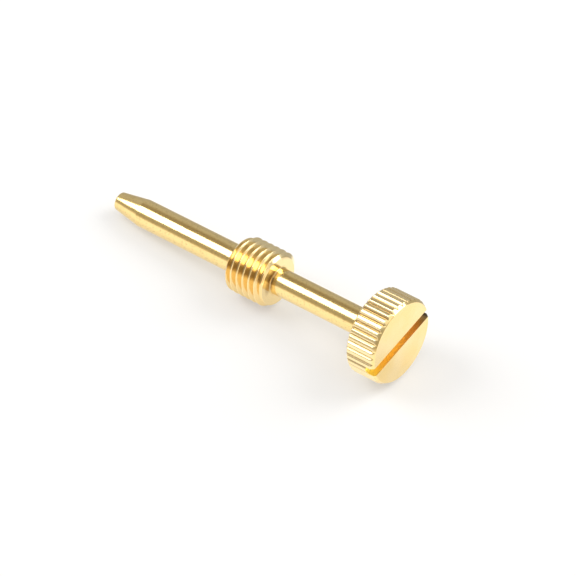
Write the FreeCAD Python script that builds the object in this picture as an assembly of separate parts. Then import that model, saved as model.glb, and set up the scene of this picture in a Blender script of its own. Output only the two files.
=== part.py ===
import FreeCAD, Part
import math
import os

# Adjusting screw, turned from one bar of brass. From the driven end to the working end it has
# a slotted head with a straight knurl, a thin neck, a short threaded collar and a plain pin
# with a tapered tip. All sizes are in millimetres. The screw is made along +X with the slotted
# face at x = 0. Then it is laid down as it rests, on the back edge of the knurl and on the back
# edge of the collar, with +Z up, the tip towards +X and the origin under its middle.

# Head
HEAD_DIAMETER = 9.0
HEAD_LENGTH = 3.35
FACE_CHAMFER_LENGTH = 0.4
FACE_CHAMFER_DEPTH = 0.26
BACK_CHAMFER = 0.22

# Straight knurl on the head: flat-topped ridges with V grooves between them
KNURL_RIDGES = 38
KNURL_LAND_WIDTH = 0.36
KNURL_DEPTH = 0.15

# Screwdriver slot across the face, turned from level when the screw lies at rest
SLOT_WIDTH = 1.06
SLOT_DEPTH = 1.0
SLOT_TURN_DEG = -8.7

# Neck between the head and the collar
NECK_DIAMETER = 2.8
NECK_LENGTH = 11.9

# Collar with its right-hand M6 x 0.75 thread
COLLAR_DIAMETER = 5.93
COLLAR_LENGTH = 4.7
COLLAR_CHAMFER = 0.36
THREAD_PITCH = 0.75
THREAD_DEPTH = 0.43
THREAD_CREST_WIDTH = THREAD_PITCH / 8
THREAD_HALF_ANGLE_DEG = 30

# Pin and its tapered tip
PIN_DIAMETER = 2.98
PIN_LENGTH = 12.85
TIP_LENGTH = 3.3
TIP_END_DIAMETER = 1.96
TIP_EDGE_RADIUS = 0.18

# Radius that the turning tool leaves in each inner corner
CORNER_RADIUS = 0.15

# How far a cutting shape runs past the metal that it cuts
CUT_OVERRUN = 1.0
THREAD_OVERRUN = THREAD_CREST_WIDTH / 2

# Places along the screw, from its slotted face
HEAD_BACK_X = HEAD_LENGTH
COLLAR_FRONT_X = HEAD_BACK_X + NECK_LENGTH
COLLAR_BACK_X = COLLAR_FRONT_X + COLLAR_LENGTH
TAPER_START_X = COLLAR_BACK_X + PIN_LENGTH
TIP_END_X = TAPER_START_X + TIP_LENGTH

HEAD_RADIUS = HEAD_DIAMETER / 2
NECK_RADIUS = NECK_DIAMETER / 2
COLLAR_RADIUS = COLLAR_DIAMETER / 2
PIN_RADIUS = PIN_DIAMETER / 2
TIP_END_RADIUS = TIP_END_DIAMETER / 2

SCREW_AXIS = FreeCAD.Vector(1, 0, 0)
CENTRE = FreeCAD.Vector(0, 0, 0)


def on_circle(radius, angle, x=0.0):
    """Point at an angle from +Y towards +Z, on a circle round the screw's axis."""
    return FreeCAD.Vector(x, radius * math.cos(angle), radius * math.sin(angle))


def outline_corners():
    """Corners of the upper half section as (x, z, rounding radius), from face to tip."""
    return [
        (0, 0, 0),
        (0, HEAD_RADIUS - FACE_CHAMFER_DEPTH, 0),
        (FACE_CHAMFER_LENGTH, HEAD_RADIUS, 0),
        (HEAD_BACK_X - BACK_CHAMFER, HEAD_RADIUS, 0),
        (HEAD_BACK_X, HEAD_RADIUS - BACK_CHAMFER, 0),
        (HEAD_BACK_X, NECK_RADIUS, CORNER_RADIUS),
        (COLLAR_FRONT_X, NECK_RADIUS, CORNER_RADIUS),
        (COLLAR_FRONT_X, COLLAR_RADIUS - COLLAR_CHAMFER, 0),
        (COLLAR_FRONT_X + COLLAR_CHAMFER, COLLAR_RADIUS, 0),
        (COLLAR_BACK_X - COLLAR_CHAMFER, COLLAR_RADIUS, 0),
        (COLLAR_BACK_X, COLLAR_RADIUS - COLLAR_CHAMFER, 0),
        (COLLAR_BACK_X, PIN_RADIUS, CORNER_RADIUS),
        (TAPER_START_X, PIN_RADIUS, 0),
        (TIP_END_X, TIP_END_RADIUS, TIP_EDGE_RADIUS),
        (TIP_END_X, 0, 0),
    ]


def rounded_corner(before, corner, after, radius):
    """The arc of this radius that joins the two lines which meet in a corner."""
    to_before = (before - corner).normalize()
    to_after = (after - corner).normalize()
    half_angle = to_before.getAngle(to_after) / 2
    start = corner + to_before * (radius / math.tan(half_angle))
    end = corner + to_after * (radius / math.tan(half_angle))
    to_centre = (to_before + to_after).normalize()
    middle = corner + to_centre * (radius / math.sin(half_angle) - radius)
    return start, middle, end


def turned_blank():
    """The plain blank, before thread, knurl and slot: its half section turned round X."""
    corners = [(FreeCAD.Vector(x, 0, z), radius) for x, z, radius in outline_corners()]
    edges = []
    last_point = corners[0][0]
    for i in range(1, len(corners) - 1):
        corner, radius = corners[i]
        if radius > 0:
            start, middle, end = rounded_corner(corners[i - 1][0], corner, corners[i + 1][0], radius)
            edges.append(Part.LineSegment(last_point, start).toShape())
            edges.append(Part.Arc(start, middle, end).toShape())
            last_point = end
        else:
            edges.append(Part.LineSegment(last_point, corner).toShape())
            last_point = corner
    edges.append(Part.LineSegment(last_point, corners[-1][0]).toShape())
    edges.append(Part.LineSegment(corners[-1][0], corners[0][0]).toShape())
    half_section = Part.Face(Part.Wire(edges))
    return half_section.revolve(CENTRE, SCREW_AXIS, 360)


def thread_groove():
    """The V-shaped groove that winds round the collar and runs out past both its ends."""
    crest_radius = COLLAR_DIAMETER / 2
    outer_radius = crest_radius + THREAD_OVERRUN
    slope = math.tan(math.radians(THREAD_HALF_ANGLE_DEG))
    half_mouth = (THREAD_PITCH - THREAD_CREST_WIDTH) / 2
    half_top = half_mouth + THREAD_OVERRUN * slope
    half_root = half_mouth - THREAD_DEPTH * slope
    corners = [
        FreeCAD.Vector(crest_radius - THREAD_DEPTH, 0, -half_root),
        FreeCAD.Vector(outer_radius, 0, -half_top),
        FreeCAD.Vector(outer_radius, 0, half_top),
        FreeCAD.Vector(crest_radius - THREAD_DEPTH, 0, half_root),
    ]
    section = Part.makePolygon(corners + corners[:1])
    helix_length = COLLAR_LENGTH + 2 * THREAD_PITCH
    helix = Part.makeLongHelix(THREAD_PITCH, helix_length, crest_radius)
    groove = Part.Wire(helix.Edges).makePipeShell([section], True, True)
    groove.rotate(CENTRE, FreeCAD.Vector(0, 1, 0), 90)
    groove.rotate(CENTRE, SCREW_AXIS, 90)
    groove.translate(SCREW_AXIS * (COLLAR_FRONT_X - 1.5 * THREAD_PITCH))
    return groove


def knurl_step():
    """Angle from one ridge of the knurl to the next."""
    return 2 * math.pi / KNURL_RIDGES


def land_half_angle():
    """Half the angle that the flat top of a ridge takes up on the head."""
    return KNURL_LAND_WIDTH / 2 / HEAD_RADIUS


def knurl_groove(middle_angle):
    """The V-shaped wedge that cuts one groove, as long as the head."""
    half_mouth = knurl_step() / 2 - land_half_angle()
    root_radius = HEAD_RADIUS - KNURL_DEPTH
    start_x = -CUT_OVERRUN
    root = on_circle(root_radius, middle_angle, start_x)
    edge_a = on_circle(HEAD_RADIUS, middle_angle - half_mouth, start_x)
    edge_b = on_circle(HEAD_RADIUS, middle_angle + half_mouth, start_x)
    outer_a = root + (edge_a - root) * (1 + CUT_OVERRUN / HEAD_RADIUS)
    outer_b = root + (edge_b - root) * (1 + CUT_OVERRUN / HEAD_RADIUS)
    wedge = Part.Face(Part.makePolygon([root, outer_a, outer_b, root]))
    return wedge.extrude(SCREW_AXIS * (HEAD_LENGTH + 2 * CUT_OVERRUN))


def knurl_grooves():
    """All the grooves, with one of them straight down, so that the screw lies on two ridges."""
    down = -math.pi / 2
    return [knurl_groove(down + i * knurl_step()) for i in range(KNURL_RIDGES)]


def driver_slot():
    """The bar that a slitting saw removes, right across the face of the head."""
    length = HEAD_DIAMETER + 2 * CUT_OVERRUN
    corner = FreeCAD.Vector(-CUT_OVERRUN, -length / 2, -SLOT_WIDTH / 2)
    bar = Part.makeBox(SLOT_DEPTH + CUT_OVERRUN, length, SLOT_WIDTH, corner)
    bar.rotate(CENTRE, SCREW_AXIS, SLOT_TURN_DEG)
    return bar


def adjusting_screw():
    """The finished screw along +X, one solid."""
    cut = turned_blank().cut(thread_groove()).cut(knurl_grooves()).cut(driver_slot())
    return Part.Solid(cut.Solids[0])


def rest_tilt_deg():
    """How far the tip dips when the head and the collar both touch the surface below."""
    head_touch_radius = HEAD_RADIUS * math.cos(knurl_step() / 2 - land_half_angle())
    head_touch_x = HEAD_BACK_X - BACK_CHAMFER
    collar_touch_x = COLLAR_BACK_X - COLLAR_CHAMFER
    drop = head_touch_radius - COLLAR_RADIUS
    return math.degrees(math.atan2(drop, collar_touch_x - head_touch_x))


def laid_down(screw):
    """The screw at rest on the plane z = 0, with the origin under the middle of its box."""
    screw = screw.copy()
    screw.rotate(CENTRE, FreeCAD.Vector(0, 1, 0), rest_tilt_deg())
    box = screw.optimalBoundingBox(False, False)
    middle_x = (box.XMin + box.XMax) / 2
    screw.translate(FreeCAD.Vector(-middle_x, 0, -box.ZMin))
    return screw


os.makedirs("parts", exist_ok=True)
laid_down(adjusting_screw()).exportStep("parts/adjusting_screw.step")
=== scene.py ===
import math

import bmesh
import bpy
from mathutils import Matrix, Vector


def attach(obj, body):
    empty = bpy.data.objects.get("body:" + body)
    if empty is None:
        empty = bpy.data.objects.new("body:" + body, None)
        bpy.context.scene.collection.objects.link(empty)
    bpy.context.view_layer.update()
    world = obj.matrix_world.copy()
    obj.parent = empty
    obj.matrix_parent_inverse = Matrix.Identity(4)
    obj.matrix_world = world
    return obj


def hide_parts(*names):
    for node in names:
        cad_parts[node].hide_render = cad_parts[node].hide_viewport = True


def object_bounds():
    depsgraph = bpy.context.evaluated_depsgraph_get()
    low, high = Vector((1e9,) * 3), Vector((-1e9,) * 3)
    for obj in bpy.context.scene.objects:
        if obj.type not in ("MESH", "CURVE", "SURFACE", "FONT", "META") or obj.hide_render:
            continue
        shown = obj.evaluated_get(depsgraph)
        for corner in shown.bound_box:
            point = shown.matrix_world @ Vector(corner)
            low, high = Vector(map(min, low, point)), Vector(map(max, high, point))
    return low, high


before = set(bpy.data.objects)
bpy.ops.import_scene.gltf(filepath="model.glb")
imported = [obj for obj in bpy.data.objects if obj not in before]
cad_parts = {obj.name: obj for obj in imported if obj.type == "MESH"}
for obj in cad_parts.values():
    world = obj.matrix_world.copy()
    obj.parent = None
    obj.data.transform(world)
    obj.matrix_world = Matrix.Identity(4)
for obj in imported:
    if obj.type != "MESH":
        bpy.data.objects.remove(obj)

# A turned brass adjusting screw lying on a pale studio floor.
# Sizes are in metres. The screw is shaped along +X with its slotted face at x = 0,
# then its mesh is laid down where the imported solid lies.
CAD_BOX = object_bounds()
NODE = "adjusting_screw"
MM = 0.001

# Slotted head
HEAD_RADIUS = 4.5 * MM
HEAD_LENGTH = 3.35 * MM
FACE_CHAMFER_LENGTH = 0.4 * MM
FACE_CHAMFER_DEPTH = 0.26 * MM
BACK_CHAMFER = 0.22 * MM
SLOT_WIDTH = 1.06 * MM
SLOT_DEPTH = 1.0 * MM
SLOT_TURN = math.radians(-8.7)

# Straight knurl: its ridges are a little crowned, lean a little and are worn unevenly.
# Each softness rounds the upper or the lower end of a groove's flank, as a share of its depth.
KNURL_RIDGES = 38
KNURL_LAND_WIDTH = 0.36 * MM
KNURL_DEPTH = 0.15 * MM
KNURL_CROWN = 0.03 * MM
KNURL_LEAN = 0.03 * MM
KNURL_UNEVENNESS = 0.015 * MM
KNURL_EDGE_SOFTNESS = 0.35
KNURL_ROOT_SOFTNESS = 0.8
KNURL_SEED = 7

# Neck, threaded collar, pin and tapered tip
NECK_RADIUS = 1.4 * MM
NECK_LENGTH = 11.9 * MM
COLLAR_RADIUS = 2.965 * MM
COLLAR_LENGTH = 4.7 * MM
COLLAR_CHAMFER = 0.36 * MM
THREAD_PITCH = 0.75 * MM
THREAD_CREST_WIDTH = THREAD_PITCH / 24
THREAD_ROOT_RADIUS = 0.14 * THREAD_PITCH
THREAD_HALF_ANGLE = math.radians(30)
PIN_RADIUS = 1.49 * MM
PIN_LENGTH = 12.85 * MM
TIP_LENGTH = 3.3 * MM
TIP_END_RADIUS = 0.98 * MM

# Radii left by the tool: in the inner corners, on the tip's end and on every other edge.
# A flange is the first ring of a shoulder, beyond the radius in its corner.
CORNER_RADIUS = 0.15 * MM
TIP_EDGE_RADIUS = 0.18 * MM
EDGE_RADIUS = 0.04 * MM
FLANGE_WIDTH = 0.04 * MM

# Places along the screw
COLLAR_FRONT = HEAD_LENGTH + NECK_LENGTH
COLLAR_BACK = COLLAR_FRONT + COLLAR_LENGTH
TAPER_START = COLLAR_BACK + PIN_LENGTH
TIP_END = TAPER_START + TIP_LENGTH

# Colours of the brass
BRASS_DEEP = (0.90, 0.66, 0.27)
BRASS_PALE = (0.94, 0.72, 0.33)
BRASS_FACED = (0.92, 0.69, 0.30)
BRASS_FACED_PALE = (0.93, 0.73, 0.38)
BRASS_THREADED = (0.88, 0.65, 0.30)
BRASS_THREAD_PAINTED_REFLECTION = (0.95, 0.78, 0.44)
BRASS_BURNISHED_AND_GLINT = (0.98, 0.84, 0.50)
BRASS_KNURLED = (0.92, 0.74, 0.41)
# Tarnished brass, also used for the painted shade in the groove roots, on the thread and in the
# neck's corner
BRASS_TARNISH_AND_PAINTED_SHADE = (0.50, 0.34, 0.15)
BRASS_SAWN = (0.97, 0.75, 0.32)
# The slot's painted shade, its painted dark end and its painted pool of light
BRASS_SLOT_PAINTED_SHADE = (0.76, 0.49, 0.20)
BRASS_SLOT_PAINTED_DARK_END = (0.14, 0.11, 0.07)
BRASS_SLOT_PAINTED_LIGHT = (0.98, 0.83, 0.34)

# Sizes of the marks on the brass, and how deep they are
TOOL_MARK = 0.16 * MM
TOOL_MARK_DEPTH = 0.003 * MM
TOOL_WAVE = 0.9 * MM
TOOL_WAVE_DEPTH = 0.002 * MM
LONG_MARK = 1.5 * MM
PATCH = 2.5 * MM
FLECK = 0.22 * MM
FLECK_DEPTH = 0.003 * MM
SAW_MARK_DEPTH = 0.01 * MM

# Depth within which a place counts as on a surface, and the side of the neck where the corner
# carries painted shade
SKIN = 0.01 * MM
PAINTED_SHADE_ANGLE = math.radians(40)

# How strongly the brass is tarnished, and how dark the painted shade is along the knurl's groove
# roots and in a stripe on the thread
SPECK_STRENGTH = 0.5
GROOVE_TARNISH = 0.45
GROOVE_ROOT_PAINTED_SHADE = 0.95
THREAD_PAINTED_SHADE = 0.5

# Roughness of plain turned brass, and what each mark or zone adds
ROUGHNESS = 0.07
MARK_ROUGHNESS = 0.08
PATCH_ROUGHNESS = 0.06
KNURL_ROUGHNESS = 0.12
GROOVE_ROUGHNESS = 0.05
FACE_ROUGHNESS = 0.05
SLOT_ROUGHNESS = 0.18
THREAD_ROUGHNESS = 0.04

# Fineness of the mesh
COLUMNS_PER_RIDGE = 16
STEM_COLUMNS = 152
ROWS_PER_PITCH = 28
ROW_CROWDING = 0.8
EDGE_ARC_STEPS = 3
CORNER_ARC_STEPS = 8
HEAD_STEP = 0.12 * MM
STEM_STEP = 2.0 * MM
MERGE_DISTANCE = 1e-7
SHARP_EDGE = math.radians(35)

# Share of a turn from straight down, where a groove of the knurl is, to +Y
FROM_BELOW = 0.25


class Formula:
    """A number inside a node tree. Sums written with it add the Math nodes that work it out."""

    def __init__(self, tree, socket):
        self.tree = tree
        self.socket = socket

    def math(self, operation, *others):
        node = self.tree.nodes.new("ShaderNodeMath")
        node.operation = operation
        for i, value in enumerate((self, *others)):
            if isinstance(value, Formula):
                self.tree.links.new(value.socket, node.inputs[i])
            else:
                node.inputs[i].default_value = value
        return Formula(self.tree, node.outputs[0])

    def __add__(self, other):
        return self.math("ADD", other)

    def __sub__(self, other):
        return self.math("SUBTRACT", other)

    def __mul__(self, other):
        return self.math("MULTIPLY", other)

    def __truediv__(self, other):
        return self.math("DIVIDE", other)

    def smaller(self, other):
        return self.math("MINIMUM", other)

    def larger(self, other):
        return self.math("MAXIMUM", other)

    def fraction(self):
        return self.math("FRACT")

    def floor(self):
        return self.math("FLOOR")

    def absolute(self):
        return self.math("ABSOLUTE")

    def sine(self):
        return self.math("SINE")

    def cosine(self):
        return self.math("COSINE")

    def root(self):
        return self.math("SQRT")


class ShapeTree:
    """A Geometry Nodes tree while it is built: its named sizes, its nodes and its result."""

    SOCKETS = {"size": "NodeSocketFloat", "count": "NodeSocketInt"}

    def __init__(self, name, **inputs):
        self.tree = bpy.data.node_groups.new(name, "GeometryNodeTree")
        add = self.tree.interface.new_socket
        add("Geometry", in_out="INPUT", socket_type="NodeSocketGeometry")
        add("Geometry", in_out="OUTPUT", socket_type="NodeSocketGeometry")
        for label, kind in inputs.items():
            add(label.replace("_", " "), in_out="INPUT", socket_type=self.SOCKETS[kind])
        self.given = self.tree.nodes.new("NodeGroupInput")
        self.result = self.tree.nodes.new("NodeGroupOutput")

    def size(self, label):
        return Formula(self.tree, self.given.outputs[label])

    def node(self, kind, links=None, **settings):
        """Adds a node. links gives its inputs by name, as sockets, formulas or plain values."""
        node = self.tree.nodes.new(kind)
        for name, value in settings.items():
            setattr(node, name, value)
        for name, value in (links or {}).items():
            self.feed(node.inputs[name], value)
        return node

    def feed(self, socket, value):
        if isinstance(value, Formula):
            self.tree.links.new(value.socket, socket)
        elif isinstance(value, bpy.types.NodeSocket):
            self.tree.links.new(value, socket)
        else:
            socket.default_value = value

    def position(self):
        """The x, y and z of each point."""
        place = self.node("GeometryNodeInputPosition")
        split = self.node("ShaderNodeSeparateXYZ", {"Vector": place.outputs[0]})
        return [Formula(self.tree, split.outputs[axis]) for axis in "XYZ"]

    def random(self, number, seed):
        """A fixed random share for each whole number."""
        node = self.node("FunctionNodeRandomValue", data_type="FLOAT")
        self.feed(node.inputs["ID"], number)
        self.feed(node.inputs["Seed"], seed)
        return Formula(self.tree, node.outputs[1])

    def vector(self, x, y, z):
        return self.node("ShaderNodeCombineXYZ", {"X": x, "Y": y, "Z": z}).outputs[0]

    def finish(self, geometry, material):
        """Ends the tree: instances made real, the finish set."""
        real = self.node("GeometryNodeRealizeInstances", {"Geometry": geometry})
        finish = self.node(
            "GeometryNodeSetMaterial", {"Geometry": real.outputs[0], "Material": material}
        )
        self.tree.links.new(finish.outputs[0], self.result.inputs[0])
        return self.tree


def rows_and_columns(tree, rows, columns):
    """A grid of points, with the row and the column number of each one."""
    grid = tree.node(
        "GeometryNodeMeshGrid",
        {"Size X": rows - 1, "Size Y": columns, "Vertices X": rows, "Vertices Y": columns + 1},
    )
    x, y, _ = tree.position()
    row = (x + (rows - 1) / 2).math("ROUND")
    column = (y + columns / 2).math("ROUND")
    return grid.outputs["Mesh"], row, column


def around(tree, radius, turn):
    """The y and z of a point at this radius and this share of a turn."""
    angle = turn * (2 * math.pi)
    return radius * angle.cosine(), radius * angle.sine()


def placed_and_closed(tree, grid, x, y, z):
    """The grid with its points moved to these places, and its first and last column joined."""
    placed = tree.node(
        "GeometryNodeSetPosition", {"Geometry": grid, "Position": tree.vector(x, y, z)}
    )
    closed = tree.node(
        "GeometryNodeMergeByDistance",
        {"Geometry": placed.outputs[0], "Distance": MERGE_DISTANCE},
    )
    return closed.outputs[0]


def lathe_tree(material):
    """Turns an outline, drawn in the XZ plane, round the X axis."""
    tree = ShapeTree("Lathe", Columns="count")
    outline = tree.given.outputs["Geometry"]
    columns = tree.size("Columns")
    size = tree.node("GeometryNodeAttributeDomainSize", {"Geometry": outline})
    rows = Formula(tree.tree, size.outputs["Point Count"])
    grid, row, column = rows_and_columns(tree, rows, columns)
    place = tree.node("GeometryNodeInputPosition")
    sample = tree.node("GeometryNodeSampleIndex", data_type="FLOAT_VECTOR", domain="POINT")
    tree.feed(sample.inputs["Geometry"], outline)
    tree.feed(sample.inputs["Value"], place.outputs[0])
    tree.feed(sample.inputs["Index"], row)
    split = tree.node("ShaderNodeSeparateXYZ", {"Vector": sample.outputs[0]})
    x = Formula(tree.tree, split.outputs["X"])
    radius = Formula(tree.tree, split.outputs["Z"])
    y, z = around(tree, radius, column / columns)
    return tree.finish(placed_and_closed(tree, grid, x, y, z), material)


def knurl_tree(material):
    """Presses a straight knurl into a turned head: crowned ridges with V grooves between them."""
    tree = ShapeTree(
        "Straight knurl",
        Ridges="count",
        Head_radius="size",
        Land_width="size",
        Groove_depth="size",
        Crown="size",
        Lean="size",
        Unevenness="size",
        Seed="count",
    )
    ridges = tree.size("Ridges")
    x, y, z = tree.position()
    radius = (y * y + z * z).root()
    turn = z.math("ARCTAN2", y) / (2 * math.pi) + FROM_BELOW
    step = turn * ridges + ridges
    ridge_number = step.floor()
    pitch = tree.size("Head radius") * (2 * math.pi) / ridges
    land_share = tree.size("Land width") / pitch
    across = (step.fraction() - 0.5) * 2
    from_ridge = across.absolute()
    groove = (from_ridge - land_share) / (land_share * -1 + 1)
    groove = groove.math("SMOOTH_MAX", 0.0, KNURL_EDGE_SOFTNESS)
    groove = groove.math("SMOOTH_MIN", 1.0, KNURL_ROOT_SOFTNESS)
    crown = from_ridge * from_ridge * tree.size("Crown")
    wear = tree.random(ridge_number, tree.size("Seed")) * tree.size("Unevenness")
    slant = tree.random(ridge_number, tree.size("Seed") + 1) * 2 - 1
    lean = (slant * across * tree.size("Lean")).larger(0.0)
    knurled = tree.size("Head radius") - groove * tree.size("Groove depth")
    knurled = knurled - crown - wear - lean
    scale = radius.smaller(knurled) / radius.larger(MERGE_DISTANCE)
    pressed = tree.node(
        "GeometryNodeSetPosition",
        {
            "Geometry": tree.given.outputs["Geometry"],
            "Position": tree.vector(x, y * scale, z * scale),
        },
    )
    return tree.finish(pressed.outputs[0], material)


def thread_depth(tree, from_crest):
    """How far a V thread with round crests and roots lies below its crest."""
    half_pitch = tree.size("Pitch") * 0.5
    half_crest = tree.size("Crest width") * 0.5
    root_radius = tree.size("Root radius")
    half_root = root_radius * math.cos(THREAD_HALF_ANGLE)
    steepness = 1 / math.tan(THREAD_HALF_ANGLE)
    flank = (from_crest - half_crest).larger(0.0) * steepness
    root_start = (half_pitch - half_crest - half_root) * steepness
    from_root = half_pitch - from_crest
    round_part = (root_radius * root_radius - from_root * from_root).larger(0.0).root()
    root = root_start - root_radius * math.sin(THREAD_HALF_ANGLE) + round_part
    in_root = from_crest.math("GREATER_THAN", half_pitch - half_root)
    crest_radius = half_crest / math.tan(THREAD_HALF_ANGLE)
    crest_rise = (crest_radius * crest_radius - from_crest * from_crest).larger(0.0).root()
    crest = crest_radius - crest_rise
    in_crest = from_crest.math("LESS_THAN", crest_radius * math.cos(THREAD_HALF_ANGLE))
    return flank + (root - flank) * in_root + (crest - flank) * in_crest


def thread_tree(material):
    """Cuts a fine right-hand thread on a collar with chamfered ends.

    Its rows follow the helix, and lie closer together on the round crests and roots.
    """
    tree = ShapeTree(
        "Fine thread",
        Crest_radius="size",
        Length="size",
        Pitch="size",
        Crest_width="size",
        Root_radius="size",
        End_chamfer="size",
        Columns="count",
    )
    columns = tree.size("Columns")
    pitch = tree.size("Pitch")
    length = tree.size("Length")
    rows = ((length / pitch + 1) * ROWS_PER_PITCH).math("CEIL") + 1
    grid, row, column = rows_and_columns(tree, rows, columns)
    turn = column / columns
    closer = (row * (4 * math.pi / ROWS_PER_PITCH)).sine() * (ROW_CROWDING / (4 * math.pi))
    along = (row / ROWS_PER_PITCH - 1 + turn - closer) * pitch
    x = along.larger(0.0).smaller(length)
    phase = (x / pitch - turn + 1.5).fraction() - 0.5
    cut = tree.size("Crest radius") - thread_depth(tree, phase.absolute() * pitch)
    from_end = x.smaller(length - x)
    chamfered = tree.size("Crest radius") - (tree.size("End chamfer") - from_end).larger(0.0)
    y, z = around(tree, cut.smaller(chamfered), turn)
    return tree.finish(placed_and_closed(tree, grid, x, y, z), material)


def arc_points(before, corner, after, radius, pieces):
    """Points on the arc that rounds a corner between two straight lines."""
    to_before = (before - corner).normalized()
    to_after = (after - corner).normalized()
    half = to_before.angle(to_after) / 2
    start = corner + to_before * (radius / math.tan(half))
    centre = corner + (to_before + to_after).normalized() * (radius / math.sin(half))
    spoke = start - centre
    end_spoke = corner + to_after * (radius / math.tan(half)) - centre
    sweep = spoke.angle_signed(end_spoke)
    return [centre + Matrix.Rotation(-sweep * i / pieces, 2) @ spoke for i in range(pieces + 1)]


def outline_object(name, corners, longest_step):
    """A line of points in the XZ plane through (x, radius, rounding) corners, for the lathe."""
    points = []
    for i, (x, radius, rounding) in enumerate(corners):
        corner = Vector((x, radius))
        if rounding > 0 and 0 < i < len(corners) - 1:
            before = Vector(corners[i - 1][:2])
            after = Vector(corners[i + 1][:2])
            pieces = EDGE_ARC_STEPS if rounding <= EDGE_RADIUS else CORNER_ARC_STEPS
            points.extend(arc_points(before, corner, after, rounding, pieces))
        else:
            points.append(corner)
    fine = [points[0]]
    for a, b in zip(points, points[1:]):
        steps = max(1, math.ceil((b - a).length / longest_step))
        fine.extend(a.lerp(b, k / steps) for k in range(1, steps + 1))
    mesh = bpy.data.meshes.new(name)
    vertices = [(p.x, 0, p.y) for p in fine]
    mesh.from_pydata(vertices, [(k, k + 1) for k in range(len(fine) - 1)], [])
    return link(bpy.data.objects.new(name, mesh))


def link(thing):
    bpy.context.scene.collection.objects.link(thing)
    return thing


def shaped(thing, *trees):
    """The plain mesh that the trees make of an object, which is then removed."""
    for tree, sizes in trees:
        modifier = thing.modifiers.new(tree.name, "NODES")
        modifier.node_group = tree
        for item in tree.interface.items_tree:
            if item.name in sizes:
                modifier[item.identifier] = sizes[item.name]
    return applied(thing)


def applied(thing):
    """The plain mesh of an object with its modifiers applied. The object is removed."""
    evaluated = thing.evaluated_get(bpy.context.evaluated_depsgraph_get())
    mesh = bpy.data.meshes.new_from_object(evaluated)
    bpy.data.objects.remove(thing)
    return mesh


def head_mesh(lathe, knurl):
    outline = outline_object(
        "head_outline",
        [
            (0, 0, 0),
            (0, HEAD_RADIUS - FACE_CHAMFER_DEPTH, EDGE_RADIUS),
            (FACE_CHAMFER_LENGTH, HEAD_RADIUS, EDGE_RADIUS),
            (HEAD_LENGTH - BACK_CHAMFER, HEAD_RADIUS, EDGE_RADIUS),
            (HEAD_LENGTH, HEAD_RADIUS - BACK_CHAMFER, EDGE_RADIUS),
            (HEAD_LENGTH, NECK_RADIUS + CORNER_RADIUS + 2 * FLANGE_WIDTH, 0),
        ],
        longest_step=HEAD_STEP,
    )
    return shaped(
        outline,
        (lathe, {"Columns": KNURL_RIDGES * COLUMNS_PER_RIDGE}),
        (
            knurl,
            {
                "Ridges": KNURL_RIDGES,
                "Head radius": HEAD_RADIUS,
                "Land width": KNURL_LAND_WIDTH,
                "Groove depth": KNURL_DEPTH,
                "Crown": KNURL_CROWN,
                "Lean": KNURL_LEAN,
                "Unevenness": KNURL_UNEVENNESS,
                "Seed": KNURL_SEED,
            },
        ),
    )


def neck_mesh(lathe):
    flange = NECK_RADIUS + CORNER_RADIUS + FLANGE_WIDTH
    outline = outline_object(
        "neck_outline",
        [
            (HEAD_LENGTH, flange, 0),
            (HEAD_LENGTH, NECK_RADIUS, CORNER_RADIUS),
            (COLLAR_FRONT, NECK_RADIUS, CORNER_RADIUS),
            (COLLAR_FRONT, flange, 0),
        ],
        longest_step=STEM_STEP,
    )
    return shaped(outline, (lathe, {"Columns": STEM_COLUMNS}))


def pin_mesh(lathe):
    outline = outline_object(
        "pin_outline",
        [
            (COLLAR_BACK, PIN_RADIUS + CORNER_RADIUS + FLANGE_WIDTH, 0),
            (COLLAR_BACK, PIN_RADIUS, CORNER_RADIUS),
            (TAPER_START, PIN_RADIUS, EDGE_RADIUS),
            (TIP_END, TIP_END_RADIUS, TIP_EDGE_RADIUS),
            (TIP_END, 0, 0),
        ],
        longest_step=STEM_STEP,
    )
    return shaped(outline, (lathe, {"Columns": STEM_COLUMNS}))


def collar_mesh(thread):
    blank = link(bpy.data.objects.new("collar_blank", bpy.data.meshes.new("collar_blank")))
    mesh = shaped(
        blank,
        (
            thread,
            {
                "Crest radius": COLLAR_RADIUS,
                "Length": COLLAR_LENGTH,
                "Pitch": THREAD_PITCH,
                "Crest width": THREAD_CREST_WIDTH,
                "Root radius": THREAD_ROOT_RADIUS,
                "End chamfer": COLLAR_CHAMFER,
                "Columns": STEM_COLUMNS,
            },
        ),
    )
    mesh.transform(Matrix.Translation((COLLAR_FRONT, 0, 0)))
    return mesh


def open_rims(bm):
    """The open edges of the mesh, gathered into closed rims, in order along the screw."""
    left = {edge for edge in bm.edges if edge.is_boundary}
    rims = []
    while left:
        rim = [left.pop()]
        for edge in rim:
            for vertex in edge.verts:
                for near in vertex.link_edges:
                    if near in left:
                        left.discard(near)
                        rim.append(near)
        rims.append(rim)

    def order(rim):
        centre = sum((edge.verts[0].co for edge in rim), Vector()) / len(rim)
        reach = sum(edge.verts[0].co.yz.length for edge in rim) / len(rim)
        return round(centre.x / MM, 2), reach

    return sorted(rims, key=order)


def joined_mesh(parts):
    """The sections as one closed skin: the rims that face each other on a shoulder are bridged."""
    bm = bmesh.new()
    for part in parts:
        bm.from_mesh(part)
    bmesh.ops.remove_doubles(bm, verts=bm.verts, dist=MERGE_DISTANCE)
    rims = open_rims(bm)
    for first, second in zip(rims[::2], rims[1::2]):
        bmesh.ops.bridge_loops(bm, edges=first + second)
    bmesh.ops.recalc_face_normals(bm, faces=bm.faces)
    mesh = bpy.data.meshes.new(NODE)
    bm.to_mesh(mesh)
    bm.free()
    return mesh


def slot_cutter():
    """The bar that the slitting saw removes across the face."""
    bm = bmesh.new()
    bmesh.ops.create_cube(bm, size=1.0)
    size = Matrix.Diagonal((2 * SLOT_DEPTH, 3 * HEAD_RADIUS, SLOT_WIDTH, 1))
    bm.transform(Matrix.Rotation(SLOT_TURN, 4, "X") @ size)
    mesh = bpy.data.meshes.new("slot_cutter")
    bm.to_mesh(mesh)
    bm.free()
    return link(bpy.data.objects.new("slot_cutter", mesh))


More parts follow.
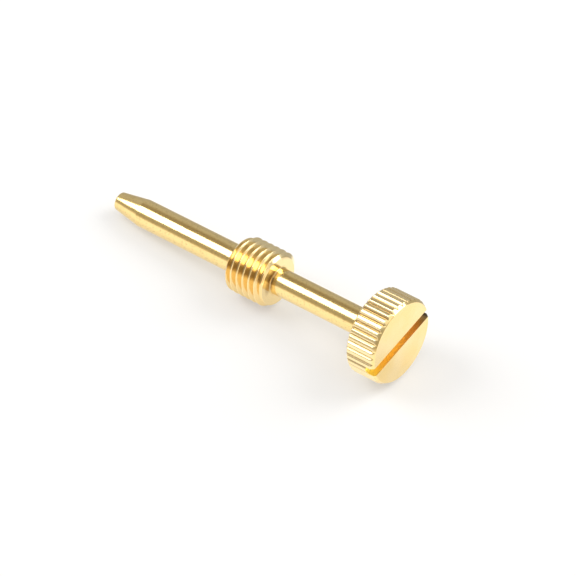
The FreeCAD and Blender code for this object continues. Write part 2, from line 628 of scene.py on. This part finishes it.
def slotted(mesh):
    blank = link(bpy.data.objects.new("slot_blank", mesh))
    cutter = slot_cutter()
    cut = blank.modifiers.new("Slot", "BOOLEAN")
    cut.operation = "DIFFERENCE"
    cut.solver = "EXACT"
    cut.object = cutter
    result = applied(blank)
    bpy.data.objects.remove(cutter)
    return result


def rest_tilt():
    """How far the tip dips when two ridges of the knurl and the collar touch the floor."""
    inner_edge = math.pi / KNURL_RIDGES - KNURL_LAND_WIDTH / 2 / HEAD_RADIUS
    drop = HEAD_RADIUS * math.cos(inner_edge) - COLLAR_RADIUS
    reach = (COLLAR_BACK - COLLAR_CHAMFER) - (HEAD_LENGTH - BACK_CHAMFER)
    return math.atan2(drop, reach)


def lie_down(mesh):
    """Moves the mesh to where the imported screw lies, and returns that placing."""
    turn = Matrix.Rotation(rest_tilt(), 4, "Y")
    mesh.transform(turn)
    low = Vector(min(v.co[i] for v in mesh.vertices) for i in range(3))
    high = Vector(max(v.co[i] for v in mesh.vertices) for i in range(3))
    cad_low, cad_high = (Vector(corner) for corner in CAD_BOX)
    shift = (cad_low + cad_high - low - high) / 2
    shift.z = cad_low.z - low.z
    mesh.transform(Matrix.Translation(shift))
    return Matrix.Translation(shift) @ turn


def crisp_edges(mesh):
    """Smooth shading, apart from the edges that the tools left sharp."""
    bm = bmesh.new()
    bm.from_mesh(mesh)
    for face in bm.faces:
        face.smooth = True
    for edge in bm.edges:
        edge.smooth = edge.calc_face_angle(0) < SHARP_EDGE
    bm.to_mesh(mesh)
    bm.free()


class Finish:
    """The nodes of the brass. Its places are in the frame in which the screw was turned."""

    def __init__(self, material, placing):
        self.tree = material.node_tree
        self.nodes = self.tree.nodes
        self.links = self.tree.links
        self.shader = self.nodes["Principled BSDF"]
        place = self.nodes.new("ShaderNodeTexCoord")
        upright = self.nodes.new("ShaderNodeMapping")
        back = placing.inverted()
        upright.inputs["Rotation"].default_value = back.to_euler()
        upright.inputs["Location"].default_value = back.to_translation()
        self.links.new(place.outputs["Object"], upright.inputs["Vector"])
        split = self.nodes.new("ShaderNodeSeparateXYZ")
        self.links.new(upright.outputs[0], split.inputs[0])
        self.x, self.y, self.z = (Formula(self.tree, split.outputs[axis]) for axis in "XYZ")
        self.radius = (self.y * self.y + self.z * self.z).root()

    def ramp(self, value, start, end):
        """0 below start and 1 above end, or the other way round where end is the smaller."""
        node = self.nodes.new("ShaderNodeMapRange")
        node.inputs["From Min"].default_value = start
        node.inputs["From Max"].default_value = end
        self.links.new(value.socket, node.inputs["Value"])
        return Formula(self.tree, node.outputs[0])

    def noise(self, x, y, z, detail=3.0):
        """Noise from 0 to 1. The inputs are places divided by the size of a mark."""
        join = self.nodes.new("ShaderNodeCombineXYZ")
        for socket, value in zip(join.inputs, (x, y, z)):
            self.links.new(value.socket, socket)
        node = self.nodes.new("ShaderNodeTexNoise")
        node.inputs["Scale"].default_value = 1.0
        node.inputs["Detail"].default_value = detail
        self.links.new(join.outputs[0], node.inputs["Vector"])
        return Formula(self.tree, node.outputs[0])

    def scatter(self, number):
        """A fixed random share for each whole number."""
        node = self.nodes.new("ShaderNodeTexWhiteNoise")
        node.noise_dimensions = "1D"
        self.links.new(number.socket, node.inputs["W"])
        return Formula(self.tree, node.outputs["Value"])

    def blend(self, share, first, second):
        """A colour that goes from the first to the second as share goes from 0 to 1."""
        node = self.nodes.new("ShaderNodeMix")
        node.data_type = "RGBA"
        self.links.new(share.socket, node.inputs["Factor"])
        for socket, colour in ((node.inputs["A"], first), (node.inputs["B"], second)):
            if isinstance(colour, bpy.types.NodeSocket):
                self.links.new(colour, socket)
            else:
                socket.default_value = (*colour, 1)
        return node.outputs["Result"]

    def bump(self, height):
        """Bends the surface by a height in metres."""
        node = self.nodes.new("ShaderNodeBump")
        node.inputs["Distance"].default_value = 1.0
        self.links.new(height.socket, node.inputs["Height"])
        self.links.new(node.outputs[0], self.shader.inputs["Normal"])


def slot_zone(finish):
    """1 on the walls and the floor of the slot."""
    across = (finish.z * math.cos(SLOT_TURN) - finish.y * math.sin(SLOT_TURN)).absolute()
    between_walls = finish.ramp(across, SLOT_WIDTH / 2 + 2 * SKIN, SLOT_WIDTH / 2 + SKIN)
    above_floor = finish.ramp(finish.x, SLOT_DEPTH + 2 * SKIN, SLOT_DEPTH + SKIN)
    below_face = finish.ramp(finish.x, SKIN, 3 * SKIN)
    return between_walls * above_floor * below_face


def knurl_zones(finish, slot):
    """The whole knurl, and on it how deep a groove is, which grooves are tarnished and the painted
    shade along every groove root.
    """
    on_side = finish.ramp(
        finish.radius, HEAD_RADIUS - 1.8 * KNURL_DEPTH, HEAD_RADIUS - 1.5 * KNURL_DEPTH
    )
    behind_chamfer = finish.ramp(
        finish.x, 0.5 * FACE_CHAMFER_LENGTH, 0.8 * FACE_CHAMFER_LENGTH
    )
    knurl = on_side * behind_chamfer * (slot * -1 + 1)
    groove = finish.ramp(finish.radius, HEAD_RADIUS - 2 * SKIN, HEAD_RADIUS - KNURL_DEPTH) * knurl
    turn = finish.z.math("ARCTAN2", finish.y) / (2 * math.pi) + FROM_BELOW
    groove_number = turn * KNURL_RIDGES
    nearest = groove_number.math("ROUND")
    some = finish.ramp(finish.scatter(nearest), 0.5, 1.0)
    # Painted shade: a thin dark line along the root of every groove.
    root = finish.ramp((groove_number - nearest).absolute(), 0.13, 0.05) * knurl
    tarnish_and_root_shade = (groove * some * GROOVE_TARNISH).larger(root * GROOVE_ROOT_PAINTED_SHADE)
    return knurl, groove, tarnish_and_root_shade


def thread_zones(finish):
    """The flanks of the thread, and its crests."""
    behind_front = finish.ramp(finish.x, COLLAR_FRONT + 0.02 * MM, COLLAR_FRONT + 0.06 * MM)
    crest = finish.ramp(
        finish.radius, COLLAR_RADIUS - 0.018 * MM, COLLAR_RADIUS - 0.006 * MM
    )
    crest = crest * behind_front
    thread = finish.ramp(finish.radius, 0.80 * COLLAR_RADIUS, 0.82 * COLLAR_RADIUS)
    return thread * behind_front - crest, crest


def thread_colour(finish):
    """The flanks of the thread: a painted reflection makes them pale on the far side, and a
    painted dark stripe of shade lies on the near side.
    """
    sideways = finish.y / finish.radius
    painted_reflection = finish.ramp(sideways, 0.34, 0.14)
    painted_dark_stripe = finish.ramp(sideways, 0.60, 0.74) * finish.ramp(sideways, 0.92, 0.84)
    painted_dark_stripe = painted_dark_stripe * finish.ramp(finish.z, 0.0, 0.5 * MM)
    colour = finish.blend(painted_reflection, BRASS_THREADED, BRASS_THREAD_PAINTED_REFLECTION)
    return finish.blend(painted_dark_stripe * THREAD_PAINTED_SHADE, colour, BRASS_TARNISH_AND_PAINTED_SHADE)


def collar_face_zone(finish):
    """1 on the front face of the collar."""
    beyond_neck = finish.ramp(finish.radius, NECK_RADIUS + 0.1 * MM, NECK_RADIUS + 0.2 * MM)
    from_front = finish.ramp(finish.x, COLLAR_FRONT - 3 * SKIN, COLLAR_FRONT - SKIN)
    from_back = finish.ramp(finish.x, COLLAR_FRONT + 3 * SKIN, COLLAR_FRONT + SKIN)
    return beyond_neck * from_front * from_back


def painted_corner_shade(finish):
    """Painted shade, standing in for a dark reflection, in the corner between the neck and the
    collar, on one side.
    """
    near_neck = finish.ramp(finish.radius, NECK_RADIUS + 0.85 * MM, NECK_RADIUS + 0.45 * MM)
    from_front = finish.ramp(finish.x, COLLAR_FRONT - 0.3 * MM, COLLAR_FRONT - 0.1 * MM)
    from_back = finish.ramp(finish.x, COLLAR_FRONT + 0.5 * MM, COLLAR_FRONT + 0.3 * MM)
    sideways = finish.y * math.cos(PAINTED_SHADE_ANGLE) + finish.z * math.sin(PAINTED_SHADE_ANGLE)
    return finish.ramp(sideways / finish.radius, 0.5, 0.85) * near_neck * from_front * from_back


def slot_colour(finish):
    """The sawn slot, with painted shade deepening towards one end and painted black at it, and a
    painted pool of light at the other.
    """
    along = finish.y * math.cos(SLOT_TURN) + finish.z * math.sin(SLOT_TURN)
    painted_shade = finish.ramp(along, 0.0, -HEAD_RADIUS)
    painted_light = finish.ramp(along, 0.5 * HEAD_RADIUS, 0.85 * HEAD_RADIUS)
    painted_dark_end = finish.ramp(along, -0.84 * HEAD_RADIUS, -0.94 * HEAD_RADIUS)
    colour = finish.blend(painted_shade, BRASS_SAWN, BRASS_SLOT_PAINTED_SHADE)
    colour = finish.blend(painted_light, colour, BRASS_SLOT_PAINTED_LIGHT)
    return finish.blend(painted_dark_end, colour, BRASS_SLOT_PAINTED_DARK_END)


def finish_brass(material, placing):
    """Bright turned brass with fine tool marks round the axis.

    The face is paler, the crests of the thread are burnished and paler still as a painted glint,
    the thread's flanks carry a painted reflection and a painted dark stripe, the knurl is duller,
    with some grooves tarnished and painted shade along every groove root, the neck and the pin
    carry dark specks, the corner by the collar carries painted shade, and the slot is rough from
    the saw, with painted shade and painted light along it.
    """
    finish = Finish(material, placing)
    x, y, z, radius = finish.x, finish.y, finish.z, finish.radius
    slot = slot_zone(finish)
    knurl, groove, tarnish_and_root_shade = knurl_zones(finish, slot)
    thread, crest = thread_zones(finish)
    on_face = finish.ramp(x, 3 * SKIN, SKIN)
    rods = finish.ramp(radius, PIN_RADIUS + 0.2 * MM, PIN_RADIUS + 0.1 * MM) * (on_face * -1 + 1)

    profile = x + radius
    marks = finish.noise(profile / TOOL_MARK, y / LONG_MARK, z / LONG_MARK)
    waves = finish.noise(profile / TOOL_WAVE, y / LONG_MARK, z / LONG_MARK, detail=1.0)
    patches = finish.noise(x / PATCH, y / PATCH, z / PATCH)
    flecks = finish.noise(x / FLECK, y / FLECK, z / FLECK)
    saw_marks = finish.noise(x / TOOL_MARK, y / LONG_MARK, z / TOOL_MARK)

    colour = finish.blend(patches, BRASS_DEEP, BRASS_PALE)
    faced = finish.blend(finish.ramp(patches, 0.35, 0.65), BRASS_FACED, BRASS_FACED_PALE)
    colour = finish.blend(on_face, colour, faced)
    colour = finish.blend(collar_face_zone(finish), colour, BRASS_FACED_PALE)
    colour = finish.blend(thread, colour, thread_colour(finish))
    # The crests: burnished, and made paler still as a painted glint along each crest.
    colour = finish.blend(crest, colour, BRASS_BURNISHED_AND_GLINT)
    colour = finish.blend(knurl, colour, BRASS_KNURLED)
    specks = finish.ramp(flecks, 0.53, 0.73) * rods * SPECK_STRENGTH
    # Tarnished grooves and specks, with painted shade in the groove roots and the neck's corner
    dark = tarnish_and_root_shade.larger(specks).larger(painted_corner_shade(finish))
    colour = finish.blend(dark, colour, BRASS_TARNISH_AND_PAINTED_SHADE)
    colour = finish.blend(slot, colour, slot_colour(finish))
    finish.links.new(colour, finish.shader.inputs["Base Color"])

    roughness = marks * MARK_ROUGHNESS + patches * PATCH_ROUGHNESS + ROUGHNESS
    roughness = roughness + knurl * KNURL_ROUGHNESS + groove * GROOVE_ROUGHNESS
    roughness = roughness + on_face * FACE_ROUGHNESS + slot * SLOT_ROUGHNESS
    roughness = roughness + thread * THREAD_ROUGHNESS
    finish.links.new(roughness.socket, finish.shader.inputs["Roughness"])
    finish.shader.inputs["Metallic"].default_value = 1.0

    height = marks * TOOL_MARK_DEPTH + waves * TOOL_WAVE_DEPTH + flecks * FLECK_DEPTH
    finish.bump(height * (slot * -1 + 1) + saw_marks * slot * SAW_MARK_DEPTH)


def adjusting_screw():
    brass = bpy.data.materials.new("bright_turned_brass")
    brass.use_nodes = True
    lathe = lathe_tree(brass)
    knurl = knurl_tree(brass)
    thread = thread_tree(brass)
    parts = [head_mesh(lathe, knurl), neck_mesh(lathe), collar_mesh(thread), pin_mesh(lathe)]
    mesh = slotted(joined_mesh(parts))
    crisp_edges(mesh)
    finish_brass(brass, lie_down(mesh))
    mesh.materials.clear()
    mesh.materials.append(brass)
    screw = link(bpy.data.objects.new("turned_screw", mesh))
    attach(screw, "root")
    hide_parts(NODE)
    return screw


# Pale floor. What the camera sees of it glows a little less than what the screw mirrors, and
# what the screw mirrors is brighter away from it, and dim on one side.
FLOOR_SIZE = 3.0
FLOOR_GREY = 0.78
FLOOR_SEEN_SHARE = 0.36
FLOOR_MIRRORED_SHARE = 0.55
FLOOR_GLOW_CLOSE = 1.0
FLOOR_GLOW_BESIDE = 1.42
FLOOR_GLOW_BEYOND = 1.15
FLOOR_GLOW_DIM = 0.05
SIDE_CLOSE = 0.5 * MM
SIDE_CLEAR = 5.0 * MM
END_CLOSE = 18.5 * MM
END_CLEAR = 24 * MM
DIM_SIDE_AZIMUTH = math.radians(-78)
DIM_START = 6.5 * MM
DIM_END = 10.0 * MM

# Surround, with levels as (sine of the elevation, level, warmth) on its near and its far side.
# It glows at the end towards which the head points, which the crests of the thread mirror.
NEAR_SIDE_AZIMUTH = math.radians(129)
NEAR_SIDE_START = -0.6
NEAR_SIDE_FULL = 0.1
NEAR_LEVELS = (
    (0.0, 0.95, 0.3),
    (0.08, 0.74, 0.8),
    (0.16, 0.52, 1.0),
    (0.3, 0.45, 0.6),
    (0.76, 0.5, 0.0),
    (0.88, 1.35, 0.0),
    (1.0, 1.35, 0.0),
)
FAR_LEVELS = (
    (0.0, 0.48, 0.0),
    (0.45, 0.56, 0.0),
    (0.58, 0.52, 0.3),
    (0.68, 0.37, 1.0),
    (0.80, 0.33, 1.0),
    (1.0, 0.60, 0.3),
)
WARM_GREEN = 0.88
WARM_BLUE = 0.70
END_GLOW = 2.2
END_GLOW_START = 0.7
END_GLOW_FULL = 0.85

# Two round soft boxes
SOFTBOX_DISTANCE = 0.6
SOFTBOX_SIDE = 0.40
SOFTBOX_RADIANCE = 4.5
SOFTBOX_ELEVATION = math.radians(42)
SOFTBOX_AZIMUTHS = (math.radians(24), math.radians(-126.5))

# Camera, as the photo was taken
CAMERA_AZIMUTH = math.radians(128.83)
CAMERA_ELEVATION = math.radians(46.76)
CAMERA_DISTANCE = 0.288
CAMERA_LENS = 187.5
CAMERA_SENSOR = 36
AIM = Vector((-0.00691, 0.00384, 0.00835))


def direction(azimuth, elevation):
    level = math.cos(elevation)
    return Vector((level * math.cos(azimuth), level * math.sin(azimuth), math.sin(elevation)))


def smooth_step(tree, value, start, end):
    """0 below start, 1 above end and a smooth rise between them."""
    node = tree.nodes.new("ShaderNodeMapRange")
    node.interpolation_type = "SMOOTHSTEP"
    node.inputs["From Min"].default_value = start
    node.inputs["From Max"].default_value = end
    tree.links.new(value.socket, node.inputs["Value"])
    return Formula(tree, node.outputs[0])


def floor():
    """A pale floor that keeps the screw's shadow and is mirrored brighter than it is seen."""
    material = bpy.data.materials.new("pale_floor")
    material.use_nodes = True
    tree = material.node_tree
    nodes, links = tree.nodes, tree.links
    nodes.clear()
    output = nodes.new("ShaderNodeOutputMaterial")
    diffuse = nodes.new("ShaderNodeBsdfDiffuse")
    diffuse.inputs["Color"].default_value = (FLOOR_GREY, FLOOR_GREY, FLOOR_GREY, 1)
    place = nodes.new("ShaderNodeTexCoord")
    split = nodes.new("ShaderNodeSeparateXYZ")
    links.new(place.outputs["Object"], split.inputs[0])
    x, y = (Formula(tree, split.outputs[axis]) for axis in "XY")
    dim_side = direction(DIM_SIDE_AZIMUTH, 0)
    dim = smooth_step(tree, x * dim_side.x + y * dim_side.y, DIM_START, DIM_END)
    beside = smooth_step(tree, (y - SIDE_CLOSE).absolute(), 0.0, SIDE_CLEAR)
    beyond = smooth_step(tree, x * -1, END_CLOSE, END_CLEAR)
    beside = beside * (FLOOR_GLOW_BESIDE - FLOOR_GLOW_CLOSE)
    beyond = beyond * (FLOOR_GLOW_BEYOND - FLOOR_GLOW_CLOSE)
    bright = beside.larger(beyond) + FLOOR_GLOW_CLOSE
    mirrored_glow = bright + (bright * -1 + FLOOR_GLOW_DIM) * dim
    path = nodes.new("ShaderNodeLightPath")
    seen = Formula(tree, path.outputs["Is Camera Ray"])
    mirrored = seen * -1 + 1
    glow = nodes.new("ShaderNodeEmission")
    links.new((seen + mirrored * mirrored_glow).socket, glow.inputs["Strength"])
    mix = nodes.new("ShaderNodeMixShader")
    share = seen * FLOOR_SEEN_SHARE + mirrored * FLOOR_MIRRORED_SHARE
    links.new(share.socket, mix.inputs[0])
    links.new(diffuse.outputs[0], mix.inputs[1])
    links.new(glow.outputs[0], mix.inputs[2])
    links.new(mix.outputs[0], output.inputs[0])
    bm = bmesh.new()
    bmesh.ops.create_grid(bm, x_segments=1, y_segments=1, size=FLOOR_SIZE / 2)
    mesh = bpy.data.meshes.new("studio_floor")
    bm.to_mesh(mesh)
    bm.free()
    mesh.materials.append(material)
    plane = link(bpy.data.objects.new("studio_floor", mesh))
    plane.location.z = CAD_BOX[0][2]


def softbox(name, azimuth):
    lamp = bpy.data.lights.new(name, "AREA")
    lamp.shape = "DISK"
    lamp.size = SOFTBOX_SIDE
    lamp.energy = SOFTBOX_RADIANCE * math.pi * math.pi * (SOFTBOX_SIDE / 2) ** 2
    box = link(bpy.data.objects.new(name, lamp))
    towards = direction(azimuth, SOFTBOX_ELEVATION)
    box.location = towards * SOFTBOX_DISTANCE
    box.rotation_euler = towards.to_track_quat("Z", "Y").to_euler()


def level_ramp(nodes, levels):
    """A colour ramp through (place, grey level, warmth) stops."""
    ramp = nodes.new("ShaderNodeValToRGB")
    while len(ramp.color_ramp.elements) < len(levels):
        ramp.color_ramp.elements.new(0.5)
    for element, (place, level, warmth) in zip(ramp.color_ramp.elements, levels):
        green = level * (1 - warmth * (1 - WARM_GREEN))
        blue = level * (1 - warmth * (1 - WARM_BLUE))
        element.position = place
        element.color = (level, green, blue, 1)
    return ramp


def surround():
    """The dim room round the screw, a little different before and behind it, bright at one end."""
    world = bpy.data.worlds.new("studio_surround")
    world.use_nodes = True
    bpy.context.scene.world = world
    tree = world.node_tree
    nodes, links = tree.nodes, tree.links
    nodes.clear()
    place = nodes.new("ShaderNodeTexCoord")
    split = nodes.new("ShaderNodeSeparateXYZ")
    links.new(place.outputs["Generated"], split.inputs[0])
    near_ramp = level_ramp(nodes, NEAR_LEVELS)
    far_ramp = level_ramp(nodes, FAR_LEVELS)
    links.new(split.outputs["Z"], near_ramp.inputs[0])
    links.new(split.outputs["Z"], far_ramp.inputs[0])
    near_side = direction(NEAR_SIDE_AZIMUTH, 0)
    x, y = (Formula(tree, split.outputs[axis]) for axis in "XY")
    nearness = smooth_step(
        tree, x * near_side.x + y * near_side.y, NEAR_SIDE_START, NEAR_SIDE_FULL
    )
    mix = nodes.new("ShaderNodeMix")
    mix.data_type = "RGBA"
    links.new(nearness.socket, mix.inputs["Factor"])
    links.new(far_ramp.outputs[0], mix.inputs["A"])
    links.new(near_ramp.outputs[0], mix.inputs["B"])
    background = nodes.new("ShaderNodeBackground")
    end_glow = smooth_step(tree, x * -1, END_GLOW_START, END_GLOW_FULL) * END_GLOW + 1
    links.new(end_glow.socket, background.inputs["Strength"])
    output = nodes.new("ShaderNodeOutputWorld")
    links.new(mix.outputs["Result"], background.inputs[0])
    links.new(background.outputs[0], output.inputs[0])


def camera():
    lens = bpy.data.cameras.new("camera")
    lens.lens = CAMERA_LENS
    lens.sensor_width = CAMERA_SENSOR
    eye = link(bpy.data.objects.new("camera", lens))
    towards = direction(CAMERA_AZIMUTH, CAMERA_ELEVATION)
    eye.location = AIM + towards * CAMERA_DISTANCE
    eye.rotation_euler = towards.to_track_quat("Z", "Y").to_euler()
    bpy.context.scene.camera = eye


adjusting_screw()
floor()
softbox("left_softbox", SOFTBOX_AZIMUTHS[0])
softbox("right_softbox", SOFTBOX_AZIMUTHS[1])
surround()
camera()
bpy.context.scene.view_settings.view_transform = "Standard"
